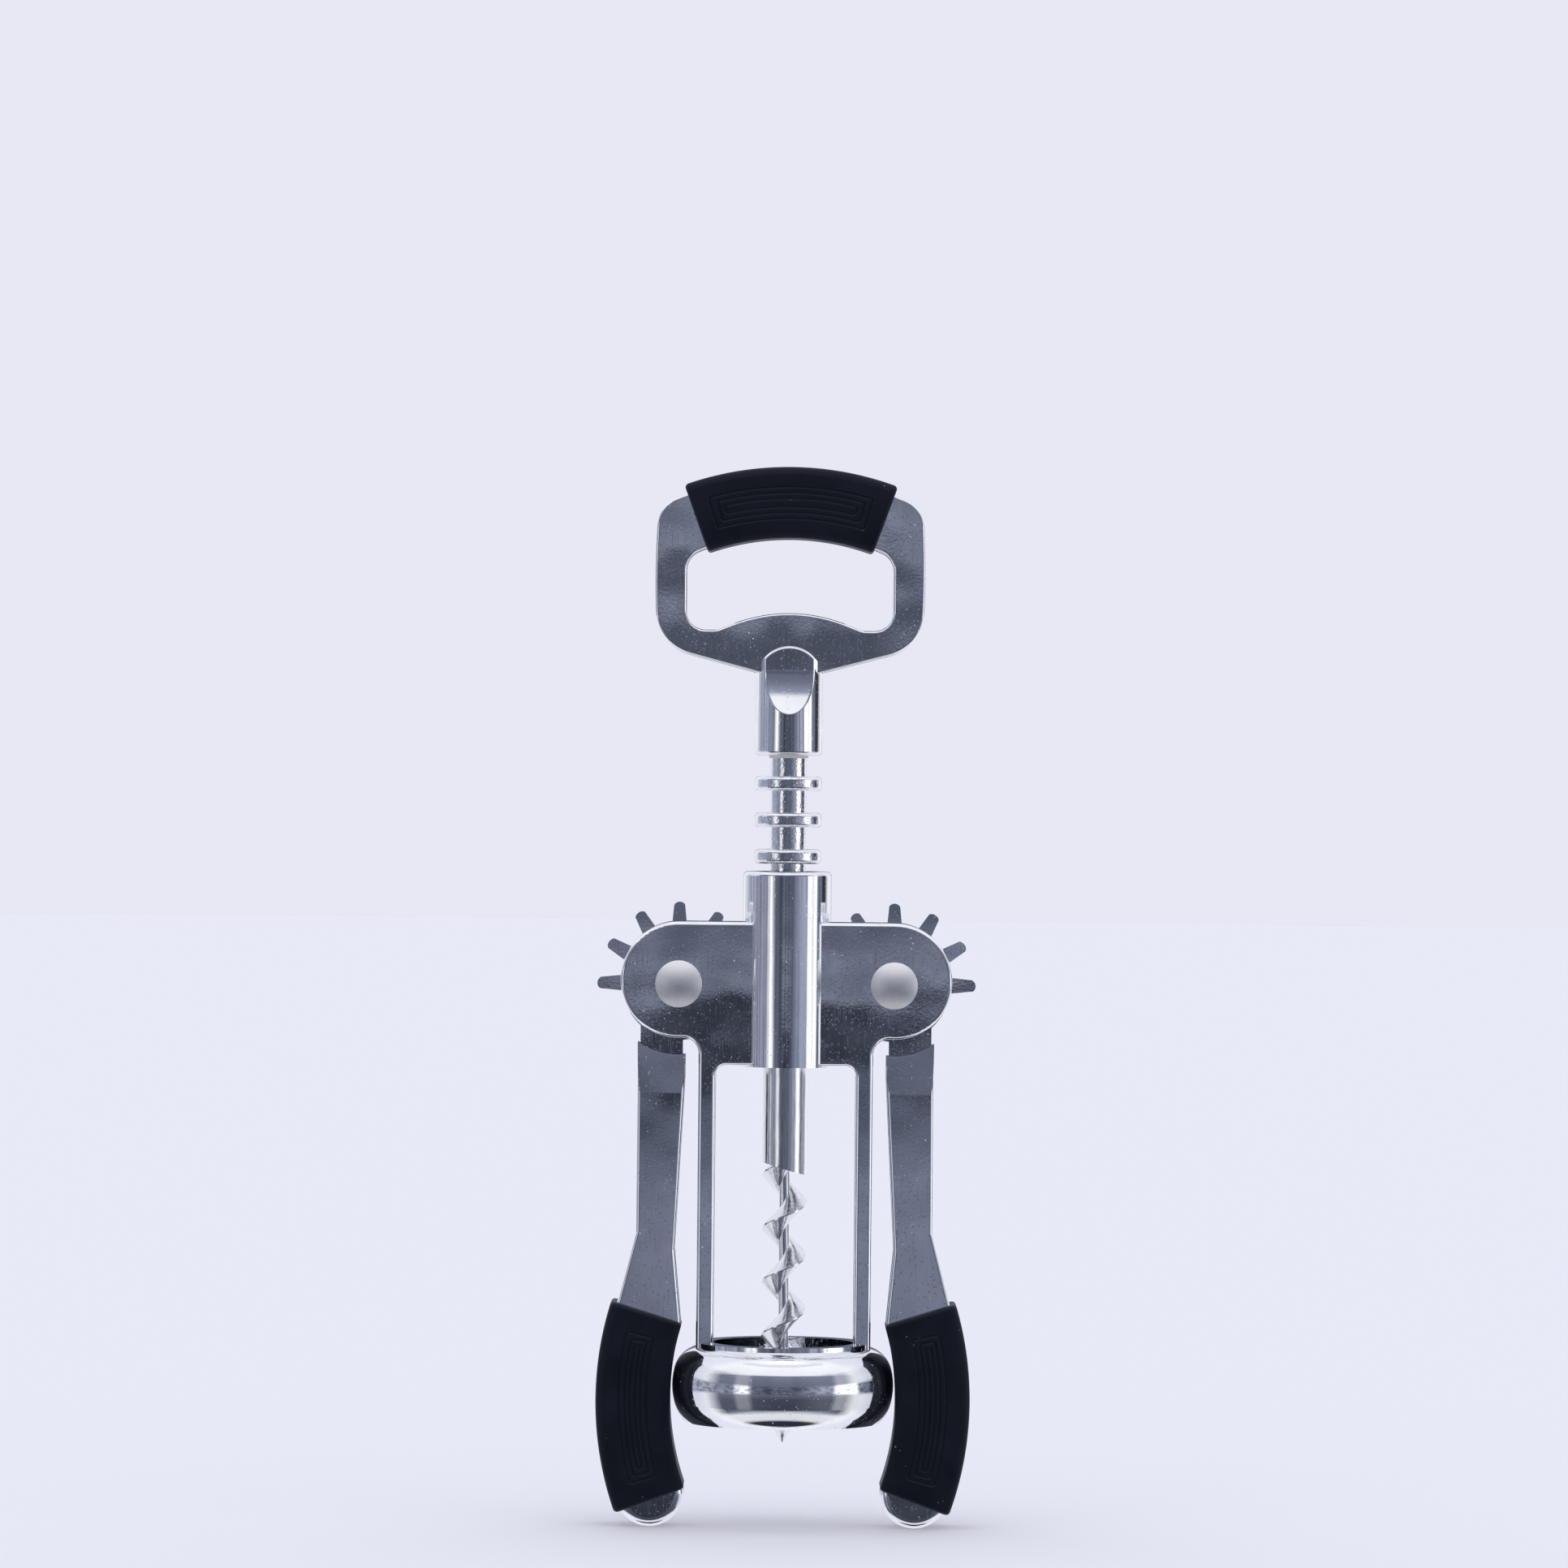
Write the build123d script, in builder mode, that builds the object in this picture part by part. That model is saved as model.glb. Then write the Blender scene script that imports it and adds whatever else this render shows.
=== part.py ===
from build123d import *
import os
from math import cos, degrees, pi, radians, sin, sqrt, tan

# Winged corkscrew. Millimetres. The spindle axis is Z, and the origin is the centre of the bell's mouth,
# which sits on the bottle. X runs from the left lever to the right, and the front faces -Y.

# ---------------------------------------------------------------- driving dimensions
# gearing between the levers and the rack
TEETH_PER_TURN = 12  # of a full wheel
LEVER_TEETH = 7
RACK_PITCH = 6.6
TOOTH_ADDENDUM = 2.095  # outside the rolling circle
TOOTH_DEDENDUM = 2.405  # inside it
PIVOT_Z = 79.2
LEVER_SWING = 150.0  # degrees, from hanging to fully raised

# clearances
RUNNING = 0.05  # radial, on pins and shafts, and between flat faces that slide
SWEEP_CLEARANCE = 0.4  # round the gears' tips
TIP_CLEARANCE = 1.5  # between the gears' tips and the rack's neck
FLANK_ROOT_CLEARANCE = 0.55  # between a ring and a tooth's root, on each side
FLANK_TIP_CLEARANCE = 1.05  # and its tip
GUIDE_CLEARANCE = 0.35  # radial, between the rings and the barrel
REST_CLEARANCE = 0.35  # between the bell and the hanging levers' grips

# rack
RACK_NECK_RADIUS = 3.25
RING_RADIUS = 6.0
RING_THICKNESS = 2.6
RING_ROUNDING = 0.7
RACK_END_MARGIN = 0.9  # between the lowest ring and the rack's lower end, at least

# frame casting
MOUTH_RADIUS = 15.2
LEDGE_Z = 10.0
COLLAR_INNER_RADIUS = 12.65
COLLAR_OUTER_RADIUS = 15.8
COLLAR_TOP_Z = 14.4
BELL_FOOT_WALL = 2.2
BELL_WALL = 4.8
BELL_BULGE = 0.4  # of its side band
BELL_BAND_LOW_Z = 3.6
BELL_BAND_HIGH_Z = 9.8
BELL_SHOULDER_Z = 13.6
LEG_WIDTH = 3.1
LEG_INSET = 0.05  # of the legs from the collar's outside
WINDOW_DROP = 14.7  # of the window's top below the pivots
WINDOW_CORNER = 1.8
CHEEK_WALL = 1.7
LOBE_RADIUS = 10.5
LOBE_LIFT = 0.75  # of the lobes' centres above the pivots
LOBE_FILLET = 2.8
CAST_ROUNDING = 0.7
WASHER_THICKNESS = 0.3
WASHER_RADIUS = 5.0
HUB_THICKNESS = 5.9
BARREL_WALL = 1.6
BARREL_LIP = 0.2  # of the barrel below the window's top
BARREL_RISE = 20.4  # of the barrel's top above the pivots
BARREL_ROUNDING = 0.8

# rivets at the pivots
RIVET_SHANK_RADIUS = 2.5
RIVET_HEAD_RADIUS = 4.22
RIVET_HEAD_HEIGHT = 1.7
RIVET_RIM = 0.5
RIVET_CORE_RADIUS = 1.3
RIVET_DOME_POINT = 0.7  # of the head's radius, where the dome has dropped by about half
RIVET_DOME_DROP = 0.49

# lever, measured from its pivot
ARM_THICKNESS = 9.0
ARM_INNER_X = 1.3
ARM_OUTER_X = -7.3
ARM_STRAIGHT_RISE = 30.2  # of the straight part's end above the bow's centre
ARM_WAIST_RISE = 27.0
ARM_WAIST_INNER_X = -0.35
STEP_RADIUS = 12.9
STEP_OVERLAP = 4.0  # of the arm under the step
NECK_INSET = 0.5  # of the hub's neck from the arm's sides
RAMP_END_Z = -19.7
RAMP_DEPTH = 0.9
ARM_ROUNDING = 0.6
TIP_ROUNDING = 1.6
BOW_CENTRE_HEIGHT = 4.2  # above the bell's mouth, when the lever hangs
BOW_INNER_RADIUS = 46.9
BOW_WIDTH = 12.0
GRIP_TOP_ANGLE = 17.2
GRIP_BOTTOM_ANGLE = -20.0
TIP_LENGTH = 4.8

# soft grips: they stand proud of the metal, which is necked down inside them
GRIP_PROUD_FACE = 1.8
GRIP_PROUD_OUTSIDE = 1.1
GRIP_PROUD_INSIDE = 0.3
GRIP_NECK_INSET = 1.4
GRIP_NECK_THICKNESS = 4.0
GRIP_ROUNDING = 1.2
GRIP_SEAT_MARGIN = 5.0  # by which the cut round a neck clears the metal

# spindle: worm, shank and stem
WORM_RADIUS = 4.0
WORM_CORE_RADIUS = 0.95
WORM_PITCH = 9.7
WORM_FLANGE_BASE = 6.3
WORM_EDGE = 0.25
WORM_TIP_Z = -3.8
WORM_TAPER_LENGTH = 11.0
WORM_TAPER_POINT_RADIUS = 2.5  # of the taper's outline, part of the way up
WORM_TAPER_POINT_RISE = 4.6
SHANK_BOTTOM_Z = 44.4
SHANK_SLANT = 2.9
SHANK_TOP_DROP = 13.2  # of the shank's top below the pivots
STEM_RADIUS = 2.0
THRUST_WASHER_THICKNESS = 0.5
THRUST_WASHER_LIP = 0.3  # outside the rack's neck

# opener head, with heights above the foot of its boss
HEAD_RISE = 41.4  # of the boss's foot above the pivots
HEAD_THICKNESS = 6.5
BOSS_TOP = 19.7
BOSS_BORE_DEPTH = 13.0
BOSS_FOOT_ROUNDING = 0.7
FACET_BOTTOM = 7.4
FACET_FLAT = 15.4
FACET_PROUD = 0.85  # of the loop's face
FACET_ROUNDING = 0.5
LOOP_SIDE_X = 24.4
LOOP_CORNER_X = 23.9
LOOP_MIDDLE = 31.9
LOOP_UNDERSIDE = 13.3
LOOP_SHOULDER = 19.6
LOOP_LOWER_ROUNDING = 8.5
LOOP_UPPER_ROUNDING = 5.5
CROWN_CENTRE = -4.4
CROWN_OUTER_RADIUS = 54.8
CROWN_INNER_RADIUS = 44.3
CROWN_HALF_ANGLE = 20.0
OPENING_SIDE_X = 18.7
OPENING_FLOOR = 22.6
OPENING_FLOOR_X = 13.2
OPENING_ROUNDING = 3.5
TONGUE_TOP = 25.7
TONGUE_EDGE_X = 9.6
TONGUE_EDGE = 24.0
HEAD_ROUNDING = 0.5
HEAD_GRIP_PROUD_FACE = 3.05
HEAD_GRIP_PROUD_OUTSIDE = 1.6
HEAD_GRIP_PROUD_INSIDE = 0.8
HEAD_PIN_RADIUS = 1.0
HEAD_PIN_HEIGHT = 4.6

# ---------------------------------------------------------------- derived sizes
TOOTH_ANGLE = 360 / TEETH_PER_TURN
ROLLING_RADIUS = TEETH_PER_TURN * RACK_PITCH / (2 * pi)
TRAVEL = ROLLING_RADIUS * radians(LEVER_SWING)
GEAR_TIP_RADIUS = ROLLING_RADIUS + TOOTH_ADDENDUM
GEAR_ROOT_RADIUS = ROLLING_RADIUS - TOOTH_DEDENDUM
RING_GAP = RACK_PITCH - RING_THICKNESS
TOOTH_ROOT_WIDTH = RING_GAP - 2 * FLANK_ROOT_CLEARANCE
TOOTH_TIP_WIDTH = RING_GAP - 2 * FLANK_TIP_CLEARANCE
PIVOT_X = RACK_NECK_RADIUS + TIP_CLEARANCE + GEAR_TIP_RADIUS
SWEEP_RADIUS = GEAR_TIP_RADIUS + SWEEP_CLEARANCE
SLOT_WIDTH = HUB_THICKNESS + 2 * (WASHER_THICKNESS + RUNNING)
CHEEK_Y = SLOT_WIDTH / 2 + CHEEK_WALL
LOBE_Z = PIVOT_Z + LOBE_LIFT
CHEEK_TOP_Z = LOBE_Z + LOBE_RADIUS
WINDOW_TOP_Z = PIVOT_Z - WINDOW_DROP
LEG_OUTER_X = COLLAR_OUTER_RADIUS - LEG_INSET
LEG_INNER_X = LEG_OUTER_X - LEG_WIDTH
BELL_FOOT_RADIUS = MOUTH_RADIUS + BELL_FOOT_WALL
BELL_RADIUS = MOUTH_RADIUS + BELL_WALL
BARREL_BORE_RADIUS = RING_RADIUS + GUIDE_CLEARANCE
BARREL_RADIUS = BARREL_BORE_RADIUS + BARREL_WALL
BARREL_BOTTOM_Z = WINDOW_TOP_Z - BARREL_LIP
BARREL_TOP_Z = PIVOT_Z + BARREL_RISE
BOSS_RADIUS = RING_RADIUS  # it follows the rack down into the barrel
BOSS_BOTTOM_Z = PIVOT_Z + HEAD_RISE
SHANK_TOP_Z = PIVOT_Z - SHANK_TOP_DROP
STEM_BORE_RADIUS = STEM_RADIUS + RUNNING
THRUST_WASHER_RADIUS = RACK_NECK_RADIUS + THRUST_WASHER_LIP
RACK_TOP_Z = BOSS_BOTTOM_Z - THRUST_WASHER_THICKNESS - RUNNING
RACK_BOTTOM_Z = SHANK_TOP_Z + THRUST_WASHER_THICKNESS + RUNNING
TOP_RING_Z = RACK_PITCH * int((RACK_TOP_Z - PIVOT_Z) / RACK_PITCH - 0.5) + PIVOT_Z + RACK_PITCH / 2
LOWEST_RING_Z = RACK_BOTTOM_Z + RACK_END_MARGIN + RING_THICKNESS / 2
RINGS = 1 + int((TOP_RING_Z - LOWEST_RING_Z) / RACK_PITCH)
STEM_TOP_Z = BOSS_BOTTOM_Z + BOSS_BORE_DEPTH
GRIP_THICKNESS = ARM_THICKNESS + 2 * GRIP_PROUD_FACE
HEAD_GRIP_THICKNESS = HEAD_THICKNESS + 2 * HEAD_GRIP_PROUD_FACE
BOW_OUTER_RADIUS = BOW_INNER_RADIUS + BOW_WIDTH
BOW_X = PIVOT_X - BELL_RADIUS - REST_CLEARANCE + BOW_INNER_RADIUS - GRIP_PROUD_INSIDE
BOW_Z = BOW_CENTRE_HEIGHT - PIVOT_Z

print("lever swing", LEVER_SWING, "rack travel", round(TRAVEL, 3), "rolling radius", round(ROLLING_RADIUS, 5))


# ---------------------------------------------------------------- helpers
def on_circle(centre, radius, angle):
    """The point of a circle at an angle in degrees, anticlockwise from +X."""
    return (centre[0] + radius * cos(radians(angle)), centre[1] + radius * sin(radians(angle)))


def ring_band(centre, inner, outer, start, stop):
    """A flat piece of a ring, between two radii and two angles."""
    with BuildSketch() as band:
        with BuildLine():
            CenterArc(centre, outer, start, stop - start)
            CenterArc(centre, inner, start, stop - start)
            Line(on_circle(centre, inner, start), on_circle(centre, outer, start))
            Line(on_circle(centre, inner, stop), on_circle(centre, outer, stop))
        make_face()
    return band.sketch


def gear_tooth():
    """A tooth along +X from the wheel's centre, sunk into its root circle, with a rounded tip."""
    sunk, flank_end = GEAR_ROOT_RADIUS - 1, GEAR_TIP_RADIUS - TOOTH_TIP_WIDTH / 4
    with BuildSketch() as tooth:
        with BuildLine():
            root_low, root_high = (sunk, -TOOTH_ROOT_WIDTH / 2), (sunk, TOOTH_ROOT_WIDTH / 2)
            tip_low, tip_high = (flank_end, -TOOTH_TIP_WIDTH / 2), (flank_end, TOOTH_TIP_WIDTH / 2)
            Line(root_low, tip_low)
            ThreePointArc(tip_low, (GEAR_TIP_RADIUS, 0), tip_high)
            Line(tip_high, root_high)
            Line(root_high, root_low)
        make_face()
    return tooth.sketch


def flat_sides(part, y):
    """The outline edges of a plate's front and back faces, which lie at -y and +y."""
    faces = [f for f in part.faces().filter_by(Axis.Y) if abs(abs(f.center().Y) - y) < 1e-4]
    return ShapeList(e for f in faces for e in f.edges())


def mirrored(part):
    """The same piece on the other side of the spindle."""
    with BuildPart() as other:
        add(mirror(part, about=Plane.YZ, mode=Mode.PRIVATE))
    return other.part


def save(part, node):
    """Labels a piece and writes it to its own file."""
    part.label = node
    export_step(part, f"parts/{node}.step")


os.makedirs("parts", exist_ok=True)

# ---------------------------------------------------------------- frame casting
with BuildPart() as frame:
    # legs and both cheeks, as one plate seen from the front
    with BuildSketch(Plane.XZ):
        with Locations((0, (LEDGE_Z + CHEEK_TOP_Z) / 2)):
            Rectangle(2 * LEG_OUTER_X, CHEEK_TOP_Z - LEDGE_Z)
        with Locations((0, LOBE_Z + LOBE_RADIUS / 2)):
            Rectangle(2 * PIVOT_X, LOBE_RADIUS)
        with Locations((-PIVOT_X, LOBE_Z), (PIVOT_X, LOBE_Z)):
            Circle(LOBE_RADIUS)
        with Locations((0, (LEDGE_Z + WINDOW_TOP_Z) / 2)):
            Rectangle(2 * LEG_INNER_X, WINDOW_TOP_Z - LEDGE_Z, mode=Mode.SUBTRACT)
    extrude(amount=CHEEK_Y, both=True)
    armpits = frame.edges().filter_by(Axis.Y).filter_by_position(Axis.Z, WINDOW_TOP_Z + 1, LOBE_Z)
    fillet(armpits, LOBE_FILLET)
    window_corners = frame.edges().filter_by(Axis.Y).filter_by_position(
        Axis.Z, WINDOW_TOP_Z - 0.01, WINDOW_TOP_Z + 0.01
    )
    fillet(window_corners, WINDOW_CORNER)
    fillet(flat_sides(frame.part, CHEEK_Y), CAST_ROUNDING)
    # the slot that the gears turn in leaves a web below them, between the cheeks
    with BuildSketch(Plane.XZ):
        with Locations((-PIVOT_X, PIVOT_Z), (PIVOT_X, PIVOT_Z)):
            Circle(SWEEP_RADIUS)
        slot_half = PIVOT_X + LOBE_RADIUS + 1
        with Locations((0, PIVOT_Z + SWEEP_RADIUS / 2)):
            Rectangle(2 * slot_half, SWEEP_RADIUS)
    extrude(amount=SLOT_WIDTH / 2, both=True, mode=Mode.SUBTRACT)
    # bell with its inner ledge, and the collar ring on top of it
    with BuildSketch(Plane.XZ):
        with BuildLine():
            foot, shoulder = (BELL_FOOT_RADIUS, 0), (COLLAR_OUTER_RADIUS, BELL_SHOULDER_Z)
            band_low = (BELL_RADIUS - BELL_BULGE, BELL_BAND_LOW_Z)
            band_high = (BELL_RADIUS - BELL_BULGE, BELL_BAND_HIGH_Z)
            band_middle = (BELL_RADIUS, (BELL_BAND_LOW_Z + BELL_BAND_HIGH_Z) / 2)
            band = ThreePointArc(band_low, band_middle, band_high)
            TangentArc(band_low, foot, tangent=-(band % 0))
            TangentArc(band_high, shoulder, tangent=band % 1)
            Polyline(
                shoulder,
                (COLLAR_OUTER_RADIUS, COLLAR_TOP_Z),
                (COLLAR_INNER_RADIUS, COLLAR_TOP_Z),
                (COLLAR_INNER_RADIUS, LEDGE_Z),
                (MOUTH_RADIUS, LEDGE_Z),
                (MOUTH_RADIUS, 0),
                foot,
            )
        make_face()
    revolve(axis=Axis.Z)
    # barrel that guides the rack, opened on both sides for the gears
    with BuildSketch(Plane.XY.offset(BARREL_BOTTOM_Z)):
        Circle(BARREL_RADIUS)
    extrude(amount=BARREL_TOP_Z - BARREL_BOTTOM_Z)
    fillet(frame.edges().group_by(Axis.Z)[-1], BARREL_ROUNDING)
    with BuildSketch(Plane.XZ):
        with Locations((-PIVOT_X, PIVOT_Z), (PIVOT_X, PIVOT_Z)):
            Circle(SWEEP_RADIUS)
    extrude(amount=SLOT_WIDTH / 2, both=True, mode=Mode.SUBTRACT)
    with BuildSketch(Plane.XY.offset(COLLAR_TOP_Z)):
        Circle(BARREL_BORE_RADIUS)
    extrude(amount=BARREL_TOP_Z, mode=Mode.SUBTRACT)
    # holes for the rivets
    with BuildSketch(Plane.XZ):
        with Locations((-PIVOT_X, PIVOT_Z), (PIVOT_X, PIVOT_Z)):
            Circle(RIVET_SHANK_RADIUS)
    extrude(amount=CHEEK_Y + 1, both=True, mode=Mode.SUBTRACT)
save(frame.part, "frame")


# ---------------------------------------------------------------- rivets and hub washers
def rivet_front(x):
    """The rivet's hollow half: a domed head on the front cheek, and a shank through the lever."""
    head_y = -CHEEK_Y
    rim_y, top_y, tail_y = head_y - RIVET_RIM, head_y - RIVET_HEAD_HEIGHT, CHEEK_Y - RUNNING
    half_way = RIVET_HEAD_RADIUS * RIVET_DOME_POINT
    sag = (RIVET_HEAD_HEIGHT - RIVET_RIM) * RIVET_DOME_DROP
    with BuildPart() as rivet:
        with BuildSketch(Plane.XY.offset(PIVOT_Z)):
            with BuildLine():
                ThreePointArc((x, top_y), (x + half_way, top_y + sag), (x + RIVET_HEAD_RADIUS, rim_y))
                Polyline(
                    (x + RIVET_HEAD_RADIUS, rim_y),
                    (x + RIVET_HEAD_RADIUS, head_y),
                    (x + RIVET_SHANK_RADIUS, head_y),
                    (x + RIVET_SHANK_RADIUS, tail_y),
                    (x + RIVET_CORE_RADIUS, tail_y),
                    (x + RIVET_CORE_RADIUS, 0),
                    (x, 0),
                    (x, top_y),
                )
            make_face()
        revolve(axis=Axis((x, 0, PIVOT_Z), (0, 1, 0)))
    return rivet.part


def rivet_back(x):
    """The rivet's solid half: a domed head on the back cheek, and a pin pressed into the hollow shank."""
    head_y = CHEEK_Y
    rim_y, top_y = head_y + RIVET_RIM, head_y + RIVET_HEAD_HEIGHT
    half_way = RIVET_HEAD_RADIUS * RIVET_DOME_POINT
    sag = (RIVET_HEAD_HEIGHT - RIVET_RIM) * RIVET_DOME_DROP
    with BuildPart() as rivet:
        with BuildSketch(Plane.XY.offset(PIVOT_Z)):
            with BuildLine():
                ThreePointArc((x, top_y), (x + half_way, top_y - sag), (x + RIVET_HEAD_RADIUS, rim_y))
                Polyline(
                    (x + RIVET_HEAD_RADIUS, rim_y),
                    (x + RIVET_HEAD_RADIUS, head_y),
                    (x + RIVET_CORE_RADIUS, head_y),
                    (x + RIVET_CORE_RADIUS, RUNNING),
                    (x, RUNNING),
                    (x, top_y),
                )
            make_face()
        revolve(axis=Axis((x, 0, PIVOT_Z), (0, 1, 0)))
    return rivet.part


def hub_washer(x, inner_y):
    """A shim between a cheek and a lever's hub, from inner_y towards the cheek."""
    outwards = 1 if inner_y > 0 else -1
    with BuildPart() as washer:
        with BuildSketch(Plane.XZ.offset(-inner_y)):
            with Locations((x, PIVOT_Z)):
                Circle(WASHER_RADIUS)
                Circle(RIVET_SHANK_RADIUS, mode=Mode.SUBTRACT)
        extrude(amount=-outwards * WASHER_THICKNESS)
    return washer.part


for side, x in (("left", -PIVOT_X), ("right", PIVOT_X)):
    save(rivet_front(x), f"pivot_rivet_{side}")
    save(rivet_back(x), f"pivot_rivet_cap_{side}")
    washer_y = SLOT_WIDTH / 2 - WASHER_THICKNESS
    save(hub_washer(x, -washer_y), f"hub_washer_{side}_front")
    save(hub_washer(x, washer_y), f"hub_washer_{side}_back")

# ---------------------------------------------------------------- levers
lever_plane = Plane(origin=(-PIVOT_X, 0, PIVOT_Z), x_dir=(1, 0, 0), z_dir=(0, -1, 0))
bow = (BOW_X, BOW_Z)
bow_middle = (BOW_INNER_RADIUS + BOW_OUTER_RADIUS) / 2
bow_inner_top = on_circle(bow, BOW_INNER_RADIUS, 180 - GRIP_TOP_ANGLE)
bow_outer_top = on_circle(bow, BOW_OUTER_RADIUS, 180 - GRIP_TOP_ANGLE)
bow_inner_end = on_circle(bow, BOW_INNER_RADIUS, 180 - GRIP_BOTTOM_ANGLE)
bow_outer_end = on_circle(bow, BOW_OUTER_RADIUS, 180 - GRIP_BOTTOM_ANGLE)
tip_angle = degrees(TIP_LENGTH / bow_middle)
tip = on_circle(bow, bow_middle, 180 - GRIP_BOTTOM_ANGLE + tip_angle)


def grip_band(inset_inside, inset_outside):
    """The lever grip's outline, with its two long sides moved in or, if negative, out."""
    inner = BOW_INNER_RADIUS + inset_inside
    outer = BOW_OUTER_RADIUS - inset_outside
    return ring_band(bow, inner, outer, 180 - GRIP_TOP_ANGLE, 180 - GRIP_BOTTOM_ANGLE)


with BuildPart() as lever_left:
    # round tip, below the grip
    grip_middle = 180 - (GRIP_TOP_ANGLE + GRIP_BOTTOM_ANGLE) / 2
    grip_half = (GRIP_TOP_ANGLE - GRIP_BOTTOM_ANGLE) / 2
    tip_start = grip_middle + grip_half / 8
    tip_span = 180 - GRIP_BOTTOM_ANGLE - tip_start
    with BuildSketch(lever_plane):
        with BuildLine():
            CenterArc(bow, BOW_INNER_RADIUS, tip_start, tip_span)
            ThreePointArc(bow_inner_end, tip, bow_outer_end)
            CenterArc(bow, BOW_OUTER_RADIUS, tip_start, tip_span)
            Line(on_circle(bow, BOW_INNER_RADIUS, tip_start), on_circle(bow, BOW_OUTER_RADIUS, tip_start))
        make_face()
    extrude(amount=ARM_THICKNESS / 2, both=True)
    fillet(flat_sides(lever_left.part, ARM_THICKNESS / 2), TIP_ROUNDING)
    # arm, down to the middle of the grip
    with BuildSketch(lever_plane):
        with BuildLine():
            Polyline(
                (ARM_OUTER_X, 0), (ARM_INNER_X, 0), (ARM_INNER_X, -STEP_RADIUS - STEP_OVERLAP),
                (ARM_WAIST_INNER_X, BOW_Z + ARM_WAIST_RISE), bow_inner_top,
            )
            CenterArc(bow, BOW_INNER_RADIUS, 180 - GRIP_TOP_ANGLE, grip_half)
            Line(on_circle(bow, BOW_INNER_RADIUS, grip_middle), on_circle(bow, BOW_OUTER_RADIUS, grip_middle))
            CenterArc(bow, BOW_OUTER_RADIUS, 180 - GRIP_TOP_ANGLE, grip_half)
            Polyline(bow_outer_top, (ARM_OUTER_X, BOW_Z + ARM_STRAIGHT_RISE), (ARM_OUTER_X, 0))
        make_face()
    extrude(amount=ARM_THICKNESS / 2, both=True)
    arm_edges = flat_sides(lever_left.part, ARM_THICKNESS / 2)
    arm_top_z, arm_foot_z = PIVOT_Z - 1, PIVOT_Z + bow_inner_top[1]
    fillet(arm_edges.filter_by(lambda e: arm_foot_z < e.center().Z < arm_top_z), ARM_ROUNDING)
    # the faces slope in above the crease, towards the hub
    with BuildSketch(Plane.YZ.offset(-PIVOT_X - 2 * STEP_RADIUS)):
        for front in (-1, 1):
            with BuildLine():
                face_y = front * ARM_THICKNESS / 2
                Polyline(
                    (face_y, PIVOT_Z + RAMP_END_Z),
                    (face_y - front * RAMP_DEPTH, PIVOT_Z - STEP_RADIUS / 2),
                    (face_y + front, PIVOT_Z - STEP_RADIUS / 2),
                    (face_y + front, PIVOT_Z + RAMP_END_Z),
                    close=True,
                )
            make_face()
    extrude(amount=4 * STEP_RADIUS, mode=Mode.SUBTRACT)
    # the hub and its neck are thinner, to turn between the cheeks
    with BuildSketch(lever_plane):
        Circle(STEP_RADIUS)
    extrude(amount=ARM_THICKNESS, both=True, mode=Mode.SUBTRACT)
    with BuildSketch(lever_plane):
        Circle(GEAR_ROOT_RADIUS)
        with PolarLocations(0, LEVER_TEETH, 0, (LEVER_TEETH - 1) * TOOTH_ANGLE, endpoint=True):
            add(gear_tooth())
        neck_foot = STEP_RADIUS + STEP_OVERLAP / 2
        with Locations(((ARM_OUTER_X + ARM_INNER_X) / 2, -neck_foot / 2)):
            Rectangle(ARM_INNER_X - ARM_OUTER_X - 2 * NECK_INSET, neck_foot)
        Circle(RIVET_SHANK_RADIUS + RUNNING, mode=Mode.SUBTRACT)
    extrude(amount=HUB_THICKNESS / 2, both=True)
    # necked down inside the grip
    with BuildSketch(lever_plane):
        add(grip_band(-GRIP_SEAT_MARGIN, -GRIP_SEAT_MARGIN))
    extrude(amount=ARM_THICKNESS, both=True, mode=Mode.SUBTRACT)
    with BuildSketch(lever_plane):
        add(grip_band(GRIP_NECK_INSET, GRIP_NECK_INSET))
    extrude(amount=GRIP_NECK_THICKNESS / 2, both=True)
save(lever_left.part, "lever_left")
save(mirrored(lever_left.part), "lever_right")

with BuildPart() as grip_left:
    with BuildSketch(lever_plane):
        add(grip_band(-GRIP_PROUD_INSIDE, -GRIP_PROUD_OUTSIDE))
    extrude(amount=GRIP_THICKNESS / 2, both=True)
    fillet(grip_left.edges(), GRIP_ROUNDING)
    with BuildSketch(lever_plane):
        add(grip_band(GRIP_NECK_INSET, GRIP_NECK_INSET))
    extrude(amount=GRIP_NECK_THICKNESS / 2, both=True, mode=Mode.SUBTRACT)
save(grip_left.part, "lever_grip_left")
save(mirrored(grip_left.part), "lever_grip_right")

# ---------------------------------------------------------------- rack
with BuildPart() as rack:
    with BuildSketch(Plane.XY.offset(RACK_BOTTOM_Z)):
        Circle(RACK_NECK_RADIUS)
    extrude(amount=RACK_TOP_Z - RACK_BOTTOM_Z)
    for number in range(RINGS):
        ring_z = TOP_RING_Z - number * RACK_PITCH
        with BuildSketch(Plane.XY.offset(ring_z - RING_THICKNESS / 2)):
            Circle(RING_RADIUS)
        extrude(amount=RING_THICKNESS)
    rims = rack.edges().filter_by(GeomType.CIRCLE).filter_by(lambda e: abs(e.radius - RING_RADIUS) < 1e-4)
    fillet(rims, RING_ROUNDING)
    with BuildSketch(Plane.XY.offset(RACK_BOTTOM_Z)):
        Circle(STEM_BORE_RADIUS)
    extrude(amount=RACK_TOP_Z - RACK_BOTTOM_Z, mode=Mode.SUBTRACT)
save(rack.part, "rack_sleeve")

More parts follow.
